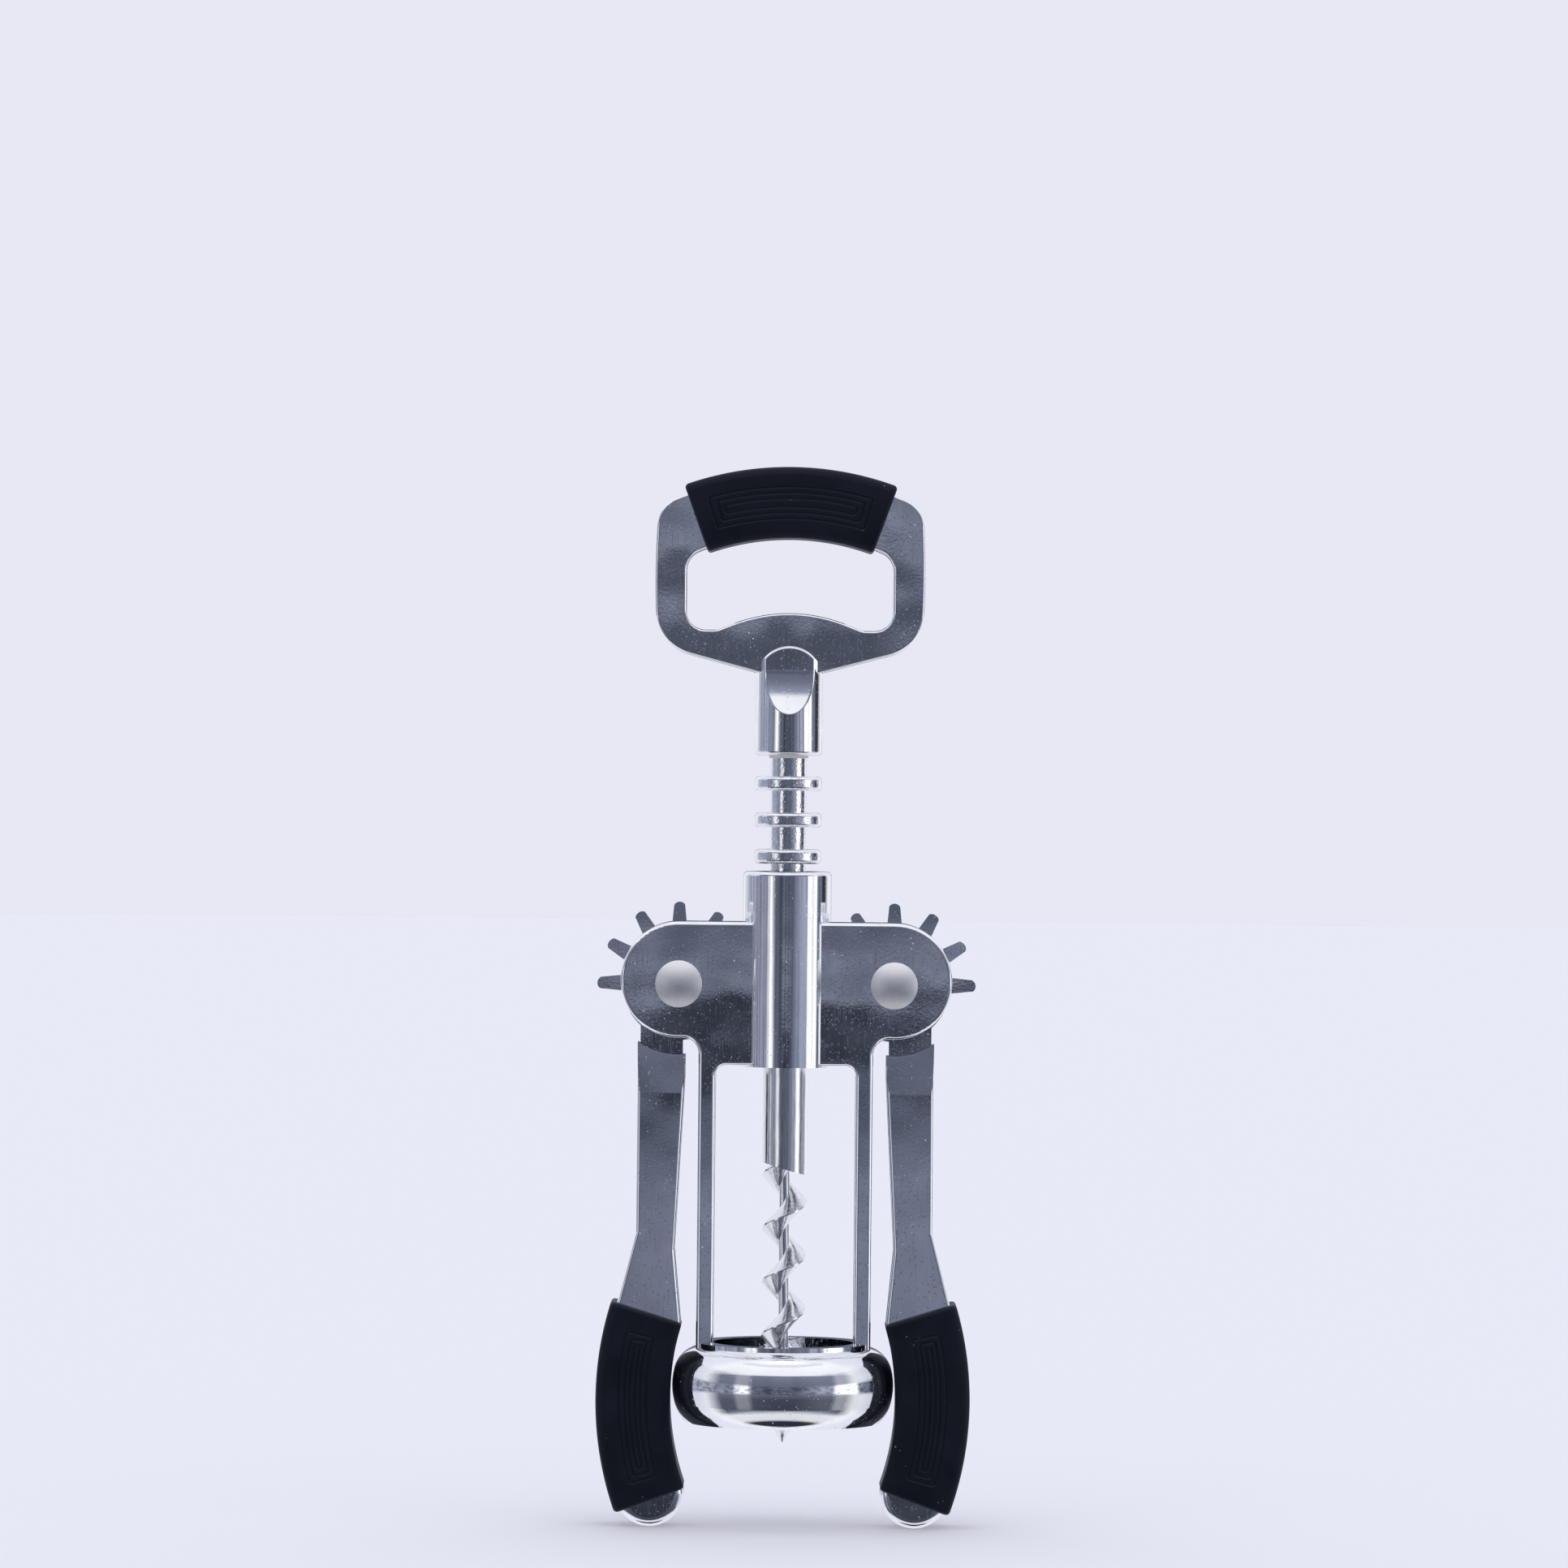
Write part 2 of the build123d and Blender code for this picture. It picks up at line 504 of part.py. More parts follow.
# ---------------------------------------------------------------- worm, shank and stem
head_front = Plane(origin=(0, 0, BOSS_BOTTOM_Z), x_dir=(1, 0, 0), z_dir=(0, -1, 0))
head_side = Plane(origin=(0, 0, BOSS_BOTTOM_Z), x_dir=(0, 1, 0), z_dir=(1, 0, 0))
worm_flange_top = SHANK_BOTTOM_Z + WORM_PITCH / 2
worm_bottom = WORM_TIP_Z - WORM_PITCH / 2
with BuildPart() as worm:
    # flange of a triangular section, carried round the core by a screw motion
    with BuildLine() as screw_line:
        Helix(WORM_PITCH, worm_flange_top - worm_bottom, WORM_CORE_RADIUS, center=(0, 0, worm_bottom))
    with BuildSketch(Plane.XZ):
        with BuildLine():
            Polyline(
                (WORM_CORE_RADIUS / 2, worm_bottom - WORM_FLANGE_BASE / 2),
                (WORM_RADIUS, worm_bottom - WORM_EDGE / 2),
                (WORM_RADIUS, worm_bottom + WORM_EDGE / 2),
                (WORM_CORE_RADIUS / 2, worm_bottom + WORM_FLANGE_BASE / 2),
                close=True,
            )
        make_face()
    sweep(path=screw_line.line, is_frenet=True)
    with BuildSketch(Plane.XY.offset(worm_bottom)):
        Circle(WORM_CORE_RADIUS)
    extrude(amount=worm_flange_top - worm_bottom)
    # the whole worm narrows to its point
    with BuildSketch(Plane.XZ):
        with BuildLine():
            full_z = WORM_TIP_Z + WORM_TAPER_LENGTH
            ThreePointArc(
                (0, WORM_TIP_Z), (WORM_TAPER_POINT_RADIUS, WORM_TIP_Z + WORM_TAPER_POINT_RISE),
                (WORM_RADIUS + RUNNING, full_z),
            )
            Polyline(
                (WORM_RADIUS + RUNNING, full_z), (WORM_RADIUS + RUNNING, worm_flange_top),
                (0, worm_flange_top), (0, WORM_TIP_Z),
            )
        make_face()
    revolve(axis=Axis.Z, mode=Mode.INTERSECT)
with BuildPart() as shank:
    with BuildSketch(Plane.XY.offset(SHANK_BOTTOM_Z)):
        Circle(WORM_RADIUS)
    extrude(amount=SHANK_TOP_Z - SHANK_BOTTOM_Z)
    # its lower end is cut on the slant where the flange runs out
    with BuildSketch(Plane.XZ):
        with BuildLine():
            Polyline(
                (WORM_RADIUS + 1, SHANK_BOTTOM_Z - 1), (WORM_RADIUS + 1, SHANK_BOTTOM_Z),
                (-WORM_RADIUS - 1, SHANK_BOTTOM_Z + SHANK_SLANT), (-WORM_RADIUS - 1, SHANK_BOTTOM_Z - 1),
                close=True,
            )
        make_face()
    extrude(amount=WORM_RADIUS + 1, both=True, mode=Mode.SUBTRACT)
    with BuildSketch(Plane.XY.offset(SHANK_TOP_Z)):
        Circle(STEM_RADIUS)
    extrude(amount=STEM_TOP_Z - SHANK_TOP_Z)
    add(worm.part)
    with BuildSketch(head_side):
        with Locations((0, HEAD_PIN_HEIGHT)):
            Circle(HEAD_PIN_RADIUS)
    extrude(amount=BOSS_RADIUS, both=True, mode=Mode.SUBTRACT)
save(shank.part, "worm")

for node, washer_z in (("thrust_washer_lower", SHANK_TOP_Z),
                       ("thrust_washer_upper", BOSS_BOTTOM_Z - THRUST_WASHER_THICKNESS)):
    with BuildPart() as thrust_washer:
        with BuildSketch(Plane.XY.offset(washer_z)):
            Circle(THRUST_WASHER_RADIUS)
            Circle(STEM_RADIUS, mode=Mode.SUBTRACT)
        extrude(amount=THRUST_WASHER_THICKNESS)
    save(thrust_washer.part, node)

# ---------------------------------------------------------------- opener head
crown = (0, CROWN_CENTRE)


def crown_height(radius, x):
    """The height of an arc about the crown's centre, at x from the spindle."""
    return CROWN_CENTRE + sqrt(radius**2 - x**2)


def crown_band(inset_inside, inset_outside):
    """The head grip's outline, with its two long sides moved in or, if negative, out."""
    inner = CROWN_INNER_RADIUS + inset_inside
    outer = CROWN_OUTER_RADIUS - inset_outside
    return ring_band(crown, inner, outer, 90 - CROWN_HALF_ANGLE, 90 + CROWN_HALF_ANGLE)


with BuildPart() as boss:
    # boss that the stem is pinned in: a round bar with a round top, scooped out to a facet at front and back
    with BuildSketch(Plane.XY.offset(BOSS_BOTTOM_Z)):
        Circle(BOSS_RADIUS)
    extrude(amount=BOSS_TOP)
    with BuildSketch(head_front):
        with Locations((0, BOSS_TOP - BOSS_RADIUS)):
            Circle(BOSS_RADIUS)
        with Locations((0, (BOSS_TOP - BOSS_RADIUS) / 2)):
            Rectangle(2 * BOSS_RADIUS, BOSS_TOP - BOSS_RADIUS)
    extrude(amount=BOSS_RADIUS, both=True, mode=Mode.INTERSECT)
    facet_y = HEAD_THICKNESS / 2 + FACET_PROUD
    with BuildSketch(head_side):
        for front in (-1, 1):
            with BuildLine():
                facet_foot, facet_flat = (front * BOSS_RADIUS, FACET_BOTTOM), (front * facet_y, FACET_FLAT)
                outside = front * (BOSS_RADIUS + 1)
                TangentArc(facet_flat, facet_foot, tangent=(0, -1))
                Polyline(
                    facet_flat, (front * facet_y, BOSS_TOP + 1), (outside, BOSS_TOP + 1),
                    (outside, FACET_BOTTOM), facet_foot,
                )
            make_face()
    extrude(amount=BOSS_RADIUS, both=True, mode=Mode.SUBTRACT)
    top_edges = boss.edges().filter_by_position(
        Axis.Z, BOSS_BOTTOM_Z + BOSS_TOP - BOSS_RADIUS, BOSS_BOTTOM_Z + BOSS_TOP + 1
    )
    fillet(top_edges.filter_by(lambda e: abs(abs(e.center().Y) - facet_y) < 0.05), FACET_ROUNDING)
    fillet(boss.edges().group_by(Axis.Z)[0], BOSS_FOOT_ROUNDING)

with BuildPart() as head:
    # loop
    with BuildSketch(head_front) as loop:
        with BuildLine():
            corner_height = crown_height(CROWN_OUTER_RADIUS, LOOP_CORNER_X)
            lower_left, lower_right = (-LOOP_CORNER_X, LOOP_SHOULDER), (LOOP_CORNER_X, LOOP_SHOULDER)
            upper_left, upper_right = (-LOOP_CORNER_X, corner_height), (LOOP_CORNER_X, corner_height)
            Polyline(lower_left, (0, LOOP_UNDERSIDE), lower_right)
            ThreePointArc(lower_right, (LOOP_SIDE_X, LOOP_MIDDLE), upper_right)
            ThreePointArc(upper_right, (0, CROWN_CENTRE + CROWN_OUTER_RADIUS), upper_left)
            ThreePointArc(upper_left, (-LOOP_SIDE_X, LOOP_MIDDLE), lower_left)
        make_face()
        outer_corners = loop.vertices().filter_by(lambda v: abs(v.X) > LOOP_CORNER_X - 0.01)
        lower_corners = outer_corners.filter_by(lambda v: v.Y < LOOP_MIDDLE)
        fillet(lower_corners, LOOP_LOWER_ROUNDING)
        upper_corners = loop.vertices().filter_by(lambda v: abs(v.Y - corner_height) < 0.01)
        fillet(upper_corners, LOOP_UPPER_ROUNDING)
    extrude(amount=HEAD_THICKNESS / 2, both=True)
    # opening, with the tongue that lifts a crown cap
    with BuildSketch(head_front) as opening:
        with BuildLine():
            opening_top = crown_height(CROWN_INNER_RADIUS, OPENING_SIDE_X)
            for side in (-1, 1):
                Polyline(
                    (side * TONGUE_EDGE_X, TONGUE_EDGE), (side * OPENING_FLOOR_X, OPENING_FLOOR),
                    (side * OPENING_SIDE_X, OPENING_FLOOR), (side * OPENING_SIDE_X, opening_top),
                )
            ThreePointArc((-TONGUE_EDGE_X, TONGUE_EDGE), (0, TONGUE_TOP), (TONGUE_EDGE_X, TONGUE_EDGE))
            ThreePointArc(
                (-OPENING_SIDE_X, opening_top),
                (0, CROWN_CENTRE + CROWN_INNER_RADIUS),
                (OPENING_SIDE_X, opening_top),
            )
        make_face()
        sides = opening.vertices().filter_by(lambda v: abs(v.X) > OPENING_SIDE_X - 0.01)
        fillet(sides, OPENING_ROUNDING)
        floor_ends = opening.vertices().filter_by(lambda v: abs(abs(v.X) - OPENING_FLOOR_X) < 0.01)
        fillet(floor_ends, OPENING_ROUNDING)
    extrude(amount=HEAD_THICKNESS, both=True, mode=Mode.SUBTRACT)
    fillet(flat_sides(head.part, HEAD_THICKNESS / 2), HEAD_ROUNDING)
    # necked down inside the grip
    with BuildSketch(head_front):
        add(crown_band(-GRIP_SEAT_MARGIN, -GRIP_SEAT_MARGIN))
    extrude(amount=HEAD_THICKNESS, both=True, mode=Mode.SUBTRACT)
    with BuildSketch(head_front):
        add(crown_band(GRIP_NECK_INSET, GRIP_NECK_INSET))
    extrude(amount=GRIP_NECK_THICKNESS / 2, both=True)
    add(boss.part)
    # bore for the stem, and the cross hole for its pin
    with BuildSketch(Plane.XY.offset(BOSS_BOTTOM_Z)):
        Circle(STEM_RADIUS)
    extrude(amount=BOSS_BORE_DEPTH, mode=Mode.SUBTRACT)
    with BuildSketch(head_side):
        with Locations((0, HEAD_PIN_HEIGHT)):
            Circle(HEAD_PIN_RADIUS)
    extrude(amount=BOSS_RADIUS, both=True, mode=Mode.SUBTRACT)
save(head.part, "opener_head")

with BuildPart() as head_grip:
    with BuildSketch(head_front):
        add(crown_band(-HEAD_GRIP_PROUD_INSIDE, -HEAD_GRIP_PROUD_OUTSIDE))
    extrude(amount=HEAD_GRIP_THICKNESS / 2, both=True)
    fillet(head_grip.edges(), GRIP_ROUNDING)
    with BuildSketch(head_front):
        add(crown_band(GRIP_NECK_INSET, GRIP_NECK_INSET))
    extrude(amount=GRIP_NECK_THICKNESS / 2, both=True, mode=Mode.SUBTRACT)
save(head_grip.part, "head_grip")

with BuildPart() as head_pin:
    with BuildSketch(head_side):
        with Locations((0, HEAD_PIN_HEIGHT)):
            Circle(HEAD_PIN_RADIUS)
    extrude(amount=sqrt(BOSS_RADIUS**2 - HEAD_PIN_RADIUS**2), both=True)
save(head_pin.part, "head_pin")
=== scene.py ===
from math import cos, pi, radians, sin

import bmesh
import bpy
import numpy as np
from mathutils import Matrix, Vector


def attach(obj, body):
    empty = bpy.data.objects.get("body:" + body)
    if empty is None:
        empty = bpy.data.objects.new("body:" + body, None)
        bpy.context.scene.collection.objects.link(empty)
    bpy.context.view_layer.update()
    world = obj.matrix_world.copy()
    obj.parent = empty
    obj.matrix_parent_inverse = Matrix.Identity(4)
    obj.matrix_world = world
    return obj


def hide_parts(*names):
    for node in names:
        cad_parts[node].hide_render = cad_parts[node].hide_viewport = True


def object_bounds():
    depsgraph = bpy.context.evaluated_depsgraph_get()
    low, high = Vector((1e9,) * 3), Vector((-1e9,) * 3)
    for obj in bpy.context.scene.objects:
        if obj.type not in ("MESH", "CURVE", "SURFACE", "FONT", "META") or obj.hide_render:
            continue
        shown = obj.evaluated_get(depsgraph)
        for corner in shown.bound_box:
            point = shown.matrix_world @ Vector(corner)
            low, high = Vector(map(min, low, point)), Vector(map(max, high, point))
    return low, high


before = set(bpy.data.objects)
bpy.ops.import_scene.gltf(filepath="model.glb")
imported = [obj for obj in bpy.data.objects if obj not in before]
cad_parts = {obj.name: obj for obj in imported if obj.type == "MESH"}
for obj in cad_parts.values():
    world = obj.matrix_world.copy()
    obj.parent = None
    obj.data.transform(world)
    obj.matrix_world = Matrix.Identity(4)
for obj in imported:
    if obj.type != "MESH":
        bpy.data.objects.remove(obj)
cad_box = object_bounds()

# The winged corkscrew's looks. Metres, in the CAD's frame: Z up the spindle, the front faces -Y.
MM = 0.001
scene = bpy.context.scene


# ---------------------------------------------------------------- node helpers
def new_material(name):
    """An empty node material with a Principled shader wired to its output."""
    material = bpy.data.materials.new(name)
    material.use_nodes = True
    tree = material.node_tree
    tree.nodes.clear()
    output = tree.nodes.new("ShaderNodeOutputMaterial")
    shader = tree.nodes.new("ShaderNodeBsdfPrincipled")
    tree.links.new(shader.outputs["BSDF"], output.inputs["Surface"])
    return material, tree, shader


def object_coordinates(tree):
    """Texture coordinates in metres that stay with the piece."""
    return tree.nodes.new("ShaderNodeTexCoord").outputs["Object"]


def stretched(tree, vector, scale):
    """Coordinates multiplied along each axis."""
    node = tree.nodes.new("ShaderNodeMapping")
    node.inputs["Scale"].default_value = scale
    tree.links.new(vector, node.inputs["Vector"])
    return node.outputs["Vector"]


def noise(tree, vector, scale, detail=2.0, roughness=0.5):
    """Noise with about one blob in every 1/scale metres."""
    node = tree.nodes.new("ShaderNodeTexNoise")
    node.inputs["Scale"].default_value = scale
    node.inputs["Detail"].default_value = detail
    node.inputs["Roughness"].default_value = roughness
    tree.links.new(vector, node.inputs["Vector"])
    return node.outputs["Fac"]


def spots(tree, vector, scale, radius, randomness=1.0):
    """1 inside round dots whose spacing is about 1/scale metres, and 0 outside them."""
    node = tree.nodes.new("ShaderNodeTexVoronoi")
    node.inputs["Scale"].default_value = scale
    node.inputs["Randomness"].default_value = randomness
    tree.links.new(vector, node.inputs["Vector"])
    return remap(tree, node.outputs["Distance"], radius * 0.6, radius, 1.0, 0.0)


def remap(tree, value, low, high, out_low, out_high):
    """Carries a value from one range to another and clamps it there."""
    node = tree.nodes.new("ShaderNodeMapRange")
    node.inputs["From Min"].default_value = low
    node.inputs["From Max"].default_value = high
    node.inputs["To Min"].default_value = out_low
    node.inputs["To Max"].default_value = out_high
    tree.links.new(value, node.inputs["Value"])
    return node.outputs["Result"]


def math(tree, operation, first, second):
    """A two-input Math node; either input may be a number."""
    node = tree.nodes.new("ShaderNodeMath")
    node.operation = operation
    for socket, value in zip(node.inputs, (first, second)):
        if isinstance(value, (int, float)):
            socket.default_value = value
        else:
            tree.links.new(value, socket)
    return node.outputs["Value"]


def mix_colour(tree, factor, first, second):
    """A blend of two colours, each a tuple or a socket."""
    node = tree.nodes.new("ShaderNodeMix")
    node.data_type = "RGBA"
    tree.links.new(factor, node.inputs["Factor"])
    for socket, value in zip((node.inputs[6], node.inputs[7]), (first, second)):
        if isinstance(value, tuple):
            socket.default_value = (*value, 1.0)
        else:
            tree.links.new(value, socket)
    return node.outputs[2]


def ramp(tree, value, stops):
    """A colour that follows a value through its stops, each a value in degrees and a brightness."""
    low, high = stops[0][0], stops[-1][0]
    node = tree.nodes.new("ShaderNodeValToRGB")
    elements = node.color_ramp.elements
    for degrees, brightness in stops[1:-1]:
        elements.new((degrees - low) / (high - low))
    for element, (degrees, brightness) in zip(elements, stops):
        element.position = (degrees - low) / (high - low)
        element.color = cool(brightness)
    tree.links.new(remap(tree, value, radians(low), radians(high), 0, 1), node.inputs["Fac"])
    return node.outputs["Color"]


def cool(brightness):
    """A grey of the studio: the darker, the bluer."""
    blue = 1 - min(brightness / 0.8, 1)
    return ((1 - 0.13 * blue) * brightness, brightness, (1.03 + 0.42 * blue) * brightness, 1)


def bump(tree, shader, height, distance, strength=1.0, under=None):
    """Bends the shader's normals by a height, whose full step is the distance in metres."""
    node = tree.nodes.new("ShaderNodeBump")
    node.inputs["Distance"].default_value = distance
    node.inputs["Strength"].default_value = strength
    tree.links.new(height, node.inputs["Height"])
    if under is not None:
        tree.links.new(under, node.inputs["Normal"])
    tree.links.new(node.outputs["Normal"], shader.inputs["Normal"])
    return node.outputs["Normal"]


# ---------------------------------------------------------------- materials
def chrome_plate(name, tint, roughness, waviness, peel, pits):
    """Plated die casting: slow waves, fine orange peel, hair scratches, pits, and specks of dust."""
    material, tree, shader = new_material(name)
    place = object_coordinates(tree)
    thickly = remap(tree, noise(tree, place, 150, 3), 0.42, 0.66, 0.0, 1.0)
    dust = math(tree, "MULTIPLY", spots(tree, place, 1500, 0.15), thickly)
    grit_patches = remap(tree, noise(tree, place, 260), 0.5, 0.6, 0, 1)
    grit = math(tree, "MULTIPLY", spots(tree, place, 640, 0.11), grit_patches)
    dust = math(tree, "MAXIMUM", dust, grit)
    film = noise(tree, place, 190, 5)
    colour = mix_colour(tree, remap(tree, film, 0.35, 0.7, 0, 1), tint, tuple(c * 0.93 for c in tint))
    colour = mix_colour(tree, dust, colour, (0.8, 0.82, 0.88))
    tree.links.new(colour, shader.inputs["Base Color"])
    tree.links.new(remap(tree, dust, 0, 1, 1.0, 0.25), shader.inputs["Metallic"])
    scratches = remap(tree, noise(tree, stretched(tree, place, (1, 1, 0.03)), 7000, 1), 0.62, 0.8, 0, 1)
    rough = math(tree, "ADD", remap(tree, film, 0.35, 0.75, roughness, roughness * 1.8),
                 math(tree, "MULTIPLY", scratches, 0.1))
    rough = math(tree, "ADD", rough, math(tree, "MULTIPLY", dust, 0.45))
    tree.links.new(rough, shader.inputs["Roughness"])
    waves = bump(tree, shader, noise(tree, place, 75, 1), waviness)
    skin = bump(tree, shader, noise(tree, place, 2300, 2), peel, 1.0, waves)
    bump(tree, shader, spots(tree, place, 1100, 0.2), -pits, 1.0, skin)
    return material


def satin_steel(name):
    """Tumbled rivet steel, with a fine even grain."""
    material, tree, shader = new_material(name)
    place = object_coordinates(tree)
    shader.inputs["Metallic"].default_value = 1.0
    grain = noise(tree, place, 6000, 3)
    colour = mix_colour(tree, remap(tree, grain, 0.35, 0.65, 0, 1), (0.84, 0.84, 0.86), (0.94, 0.94, 0.96))
    tree.links.new(colour, shader.inputs["Base Color"])
    tree.links.new(remap(tree, grain, 0.3, 0.7, 0.42, 0.54), shader.inputs["Roughness"])
    bump(tree, shader, grain, 0.000006)
    return material


def polished_steel(name):
    """Drawn and polished wire steel of the worm."""
    material, tree, shader = new_material(name)
    place = object_coordinates(tree)
    shader.inputs["Metallic"].default_value = 1.0
    drawn = noise(tree, stretched(tree, place, (1, 1, 0.1)), 2600, 3)
    colour = mix_colour(tree, remap(tree, drawn, 0.3, 0.7, 0, 1), (0.74, 0.75, 0.77), (0.86, 0.86, 0.88))
    tree.links.new(colour, shader.inputs["Base Color"])
    tree.links.new(remap(tree, drawn, 0.3, 0.75, 0.08, 0.24), shader.inputs["Roughness"])
    bump(tree, shader, drawn, 0.00001)
    return material


def soft_touch(name):
    """Black soft-touch rubber: a matte, slightly blue skin with a fine grain and a little lint."""
    material, tree, shader = new_material(name)
    place = object_coordinates(tree)
    shader.inputs["Sheen Weight"].default_value = 0.05
    shader.inputs["Sheen Roughness"].default_value = 0.4
    shader.inputs["Sheen Tint"].default_value = (0.75, 0.78, 1.0, 1.0)
    shader.inputs["Specular IOR Level"].default_value = 0.3
    shader.inputs["Specular Tint"].default_value = (0.7, 0.78, 1.0, 1.0)
    grain = noise(tree, place, 5200, 3, 0.6)
    cloud = noise(tree, place, 140, 3)
    lint_patches = remap(tree, noise(tree, place, 210), 0.6, 0.66, 0, 1)
    lint = math(tree, "MULTIPLY", spots(tree, place, 620, 0.1), lint_patches)
    worn = remap(tree, cloud, 0.3, 0.7, 0, 1)
    colour = mix_colour(tree, worn, (0.0035, 0.0042, 0.009), (0.006, 0.007, 0.0145))
    colour = mix_colour(tree, lint, colour, (0.35, 0.36, 0.4))
    tree.links.new(colour, shader.inputs["Base Color"])
    tree.links.new(remap(tree, cloud, 0.3, 0.7, 0.46, 0.6), shader.inputs["Roughness"])
    bump(tree, shader, grain, 0.000016)
    return material


def moulded_nylon(name):
    """Natural nylon of the washers, faintly mottled."""
    material, tree, shader = new_material(name)
    place = object_coordinates(tree)
    mottle = noise(tree, place, 900, 3)
    colour = mix_colour(tree, remap(tree, mottle, 0.3, 0.7, 0, 1), (0.66, 0.65, 0.6), (0.76, 0.75, 0.7))
    tree.links.new(colour, shader.inputs["Base Color"])
    tree.links.new(remap(tree, mottle, 0.3, 0.7, 0.35, 0.5), shader.inputs["Roughness"])
    bump(tree, shader, mottle, 0.00001)
    return material


PLATE_TINT = (0.86, 0.875, 0.91)
plate = chrome_plate("chrome_plate", PLATE_TINT, 0.03, 0.00005, 0.000001, 0.000004)
head_plate = chrome_plate("hand_polished_plate", PLATE_TINT, 0.04, 0.00011, 0.000002, 0.000006)
cast = chrome_plate("rough_cast_plate", PLATE_TINT, 0.07, 0.0002, 0.00005, 0.00004)
rivet_steel = satin_steel("rivet_steel")
worm_steel = polished_steel("worm_steel")
rubber = soft_touch("soft_touch_rubber")
nylon = moulded_nylon("natural_nylon")

LOOKS = {
    "frame": plate, "lever_left": plate, "lever_right": plate, "opener_head": head_plate,
    "rack_sleeve": cast, "worm": worm_steel, "head_pin": rivet_steel,
}


def look_of(node):
    """The material of a CAD node, by its name."""
    if node in LOOKS:
        return LOOKS[node]
    if "grip" in node:
        return rubber
    return rivet_steel if "rivet" in node else nylon


for node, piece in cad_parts.items():
    for slot in piece.material_slots:
        slot.material = look_of(node)

# ---------------------------------------------------------------- soft grips
GRID = 0.18  # spacing of the grips' mesh along and across, mm
GROOVE_WIDTH = 0.55
GROOVE_DEPTH = 0.34
GROOVE_CORNER = 0.5
GRIP_EDGE = 1.3  # rounding of the long edges
GRIP_END = 0.7  # rounding of the ends
GRIP_THICKNESS = 12.6
FACE_CROWN = 0.22  # how far the middle of a face stands out past its sides


def rounded_box_distance(along, across, half_length, half_width):
    """Signed distance from a flat rounded box's outline."""
    out_x = np.abs(along) - half_length + GROOVE_CORNER
    out_y = np.abs(across) - half_width + GROOVE_CORNER
    outside = np.hypot(np.maximum(out_x, 0), np.maximum(out_y, 0))
    return outside + np.minimum(np.maximum(out_x, out_y), 0) - GROOVE_CORNER


def groove_depth(along, across, loops):
    """How deep the nested groove loops cut into the face at a point of it."""
    depth = np.zeros_like(along)
    for half_length, half_width in loops:
        off = np.abs(rounded_box_distance(along, across, half_length, half_width)) / (GROOVE_WIDTH / 2)
        depth = np.maximum(depth, GROOVE_DEPTH * (1 - np.clip(off, 0, 1) ** 2) ** 1.5)
    return depth


def section_outline(width, thickness):
    """A rounded rectangle, as points round it and a flag: -1 on the front face, 1 on the back one."""
    across = np.linspace(-width / 2 + GRIP_EDGE, width / 2 - GRIP_EDGE, int((width - 2 * GRIP_EDGE) / GRID))
    through = np.linspace(-thickness / 2 + GRIP_EDGE, thickness / 2 - GRIP_EDGE, 18)[1:-1]
    bend = np.linspace(0, pi / 2, 9)[1:-1]
    half_w, half_t = width / 2, thickness / 2
    in_w, in_t = half_w - GRIP_EDGE, half_t - GRIP_EDGE
    points = [(x, -half_t, -1) for x in across]
    points += [(in_w + GRIP_EDGE * sin(b), -in_t - GRIP_EDGE * cos(b), 0) for b in bend]
    points += [(half_w, y, 0) for y in (-in_t, *through, in_t)]
    points += [(in_w + GRIP_EDGE * cos(b), in_t + GRIP_EDGE * sin(b), 0) for b in bend]
    points += [(x, half_t, 1) for x in across[::-1]]
    points += [(-in_w - GRIP_EDGE * sin(b), in_t + GRIP_EDGE * cos(b), 0) for b in bend]
    points += [(-half_w, y, 0) for y in (in_t, *through[::-1], -in_t)]
    points += [(-in_w - GRIP_EDGE * cos(b), -in_t - GRIP_EDGE * sin(b), 0) for b in bend]
    return np.array(points)


